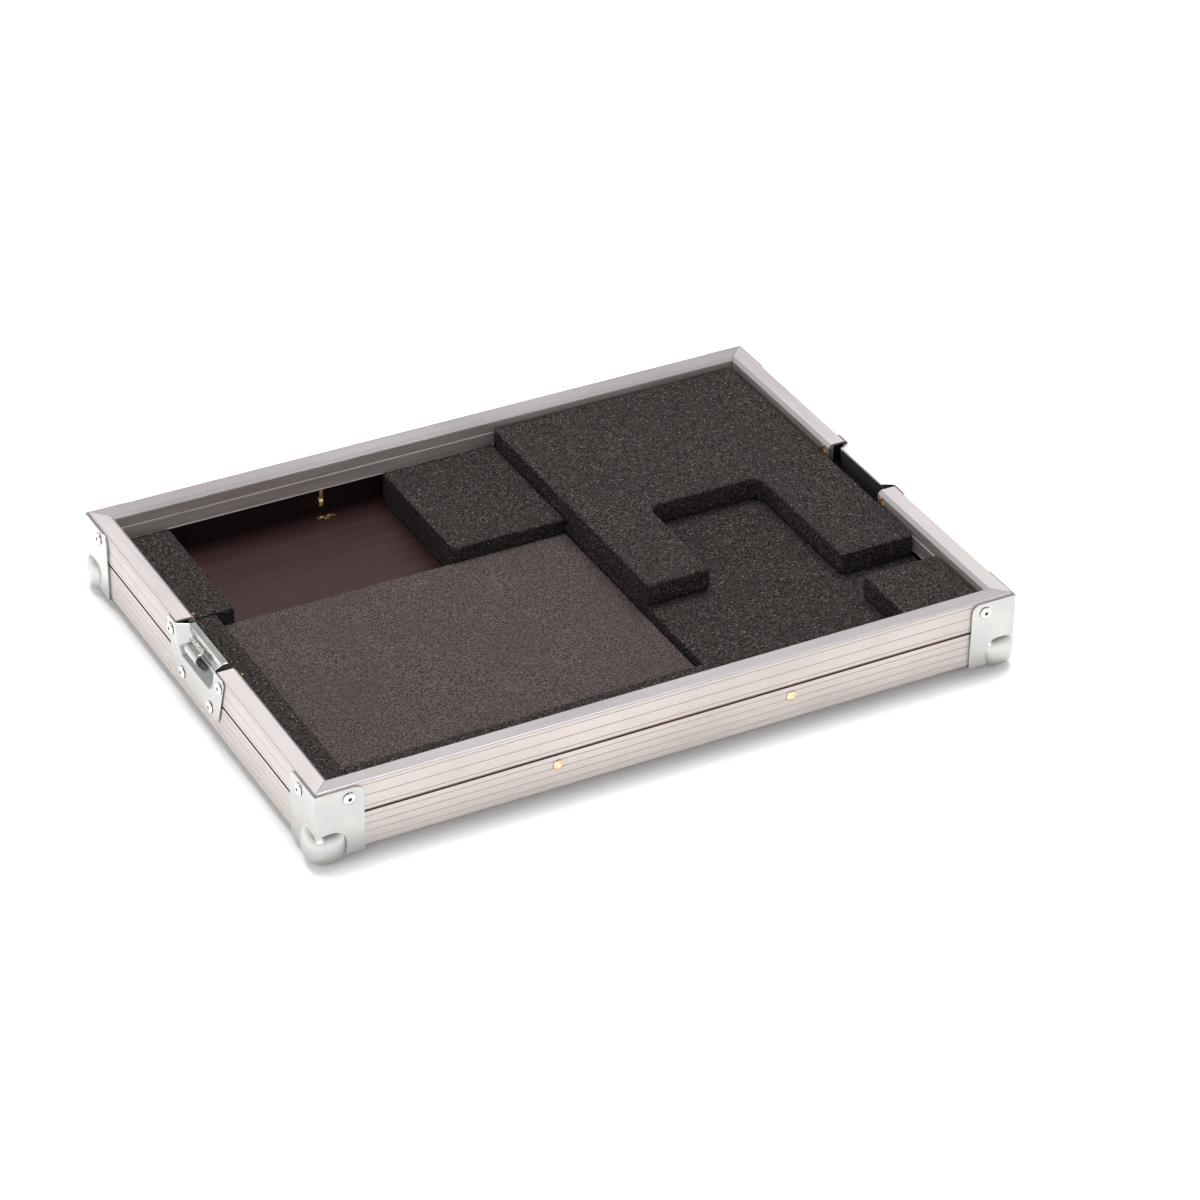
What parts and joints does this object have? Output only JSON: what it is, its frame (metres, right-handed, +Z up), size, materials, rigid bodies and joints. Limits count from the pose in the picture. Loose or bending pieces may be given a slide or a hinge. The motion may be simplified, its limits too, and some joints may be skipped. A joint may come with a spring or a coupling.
{
  "type": "pedal case base",
  "caption": "Shallow plywood case base with ribbed aluminium edging, ball corners, recessed latch keepers in both ends and a stepped foam fit-out for pedals.",
  "frame": {"origin": "on the ground under the middle of the case, level with the bottom of the ball corners", "axes": "+X along the long front wall to the right, +Y from the front wall to the rear wall, +Z up"},
  "size_m": [0.613, 0.4474, 0.067],
  "materials": {
    "plywood": "smooth phenolic film",
    "aluminium": "satin anodised",
    "zinc": "bright zinc plated",
    "rivet_steel": "bright nickel plated",
    "brass": "dull brass",
    "coarse_foam": "coarse open-celled foam",
    "fine_foam": "fine closed-celled foam"
  },
  "bodies": {
    "root": {"floor_panel": "plywood", "wall_panel_front": "plywood", "wall_panel_rear": "plywood", "wall_panel_left": "plywood", "wall_panel_right": "plywood", "rim_profile_front": "aluminium", "rim_profile_rear": "aluminium", "rim_profile_left_rear": "aluminium", "rim_profile_left_front": "aluminium", "rim_profile_right_front": "aluminium", "rim_profile_right_rear": "aluminium", "edge_profile_front": "aluminium", "edge_profile_rear": "aluminium", "edge_profile_left": "aluminium", "edge_profile_right": "aluminium", "ball_corner_front_left": "zinc", "ball_corner_front_right": "zinc", "ball_corner_rear_right": "zinc", "ball_corner_rear_left": "zinc", "corner_rivet_front_left": "rivet_steel", "corner_rivet_front_right": "rivet_steel", "corner_rivet_rear_right": "rivet_steel", "corner_rivet_rear_left": "rivet_steel", "corner_rivet_left_rear": "rivet_steel", "corner_rivet_left_front": "rivet_steel", "corner_rivet_right_front": "rivet_steel", "corner_rivet_right_rear": "rivet_steel", "latch_rivet_left_top_rear": "rivet_steel", "latch_rivet_left_top_front": "rivet_steel", "latch_rivet_left_low_rear": "rivet_steel", "latch_rivet_left_low_front": "rivet_steel", "latch_rivet_right_top_rear": "rivet_steel", "latch_rivet_right_top_front": "rivet_steel", "latch_rivet_right_low_rear": "rivet_steel", "latch_rivet_right_low_front": "rivet_steel", "split_rivet_front_left": "brass", "split_rivet_front_right": "brass", "split_rivet_rear_left": "brass", "split_rivet_rear_right": "brass", "floor_rivet_front_left": "brass", "floor_rivet_front_right": "brass", "floor_rivet_rear_left": "brass", "floor_rivet_rear_right": "brass", "latch_dish_left": "zinc", "latch_hook_left": "zinc", "latch_dish_right": "zinc", "latch_hook_right": "zinc", "foam_rear_left_block": "coarse_foam", "foam_left_strip": "coarse_foam", "foam_front_strip": "coarse_foam", "foam_rear_block": "coarse_foam", "foam_base_layer": "coarse_foam", "foam_corner_block": "coarse_foam", "foam_top_layer": "coarse_foam", "foam_middle_pad": "fine_foam"}
  },
  "joints": []
}
